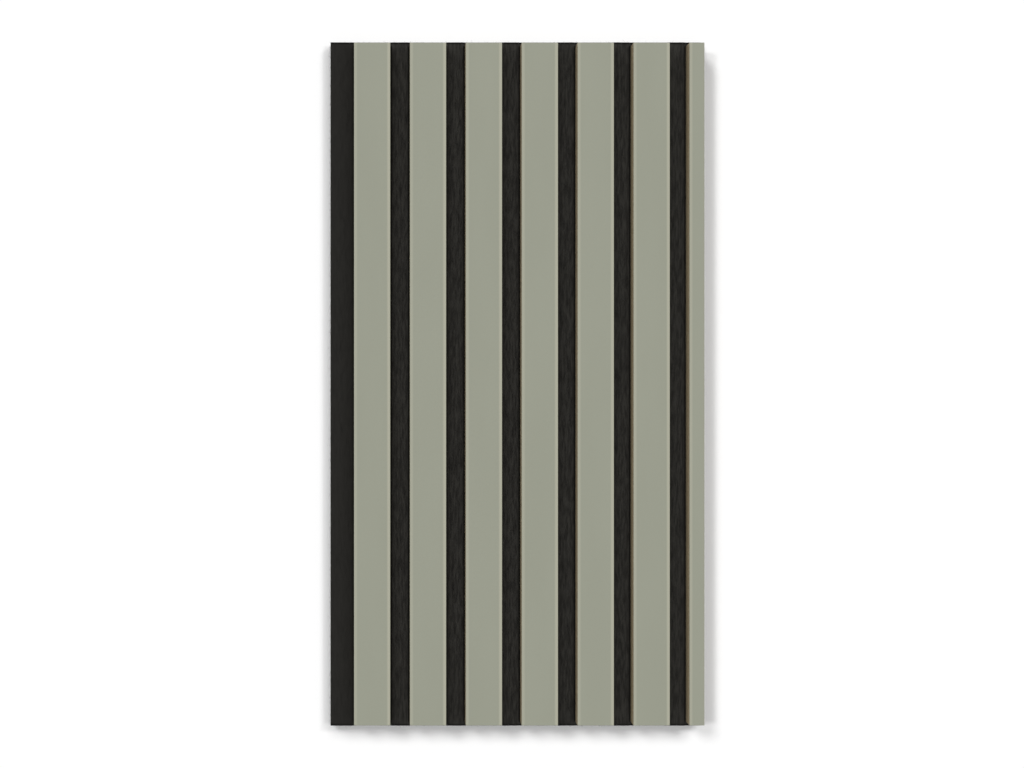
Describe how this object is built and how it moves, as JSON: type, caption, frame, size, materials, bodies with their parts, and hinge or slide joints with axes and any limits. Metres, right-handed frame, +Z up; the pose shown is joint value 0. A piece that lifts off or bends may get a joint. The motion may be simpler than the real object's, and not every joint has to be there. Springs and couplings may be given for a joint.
{
  "type": "acoustic slat wall panel",
  "caption": "Cut length of slatted acoustic wall panel: sage-green faced fibreboard slats stapled upright on a black felt backing, with a bare felt joining strip.",
  "frame": {"origin": "centre of the felt's back face, which lies against the wall", "axes": "+X to the right as seen from the front, +Z up along the slats, +Y into the wall"},
  "size_m": [0.268, 0.021, 0.4884],
  "materials": {
    "felt": "needled polyester felt, near black, dull",
    "fibreboard": "bare medium density fibreboard, sawn edges",
    "facing": "matt sage green laminate",
    "staple_steel": "galvanised flat wire"
  },
  "bodies": {
    "root": {"felt_backing": "felt", "slat_1_core": "fibreboard", "slat_1_facing": "facing", "slat_1_staples": "staple_steel", "slat_2_core": "fibreboard", "slat_2_facing": "facing", "slat_2_staples": "staple_steel", "slat_3_core": "fibreboard", "slat_3_facing": "facing", "slat_3_staples": "staple_steel", "slat_4_core": "fibreboard", "slat_4_facing": "facing", "slat_4_staples": "staple_steel", "slat_5_core": "fibreboard", "slat_5_facing": "facing", "slat_5_staples": "staple_steel", "slat_6_core": "fibreboard", "slat_6_facing": "facing", "slat_6_staples": "staple_steel", "slat_7_core": "fibreboard", "slat_7_facing": "facing", "slat_7_staples": "staple_steel"}
  },
  "joints": []
}
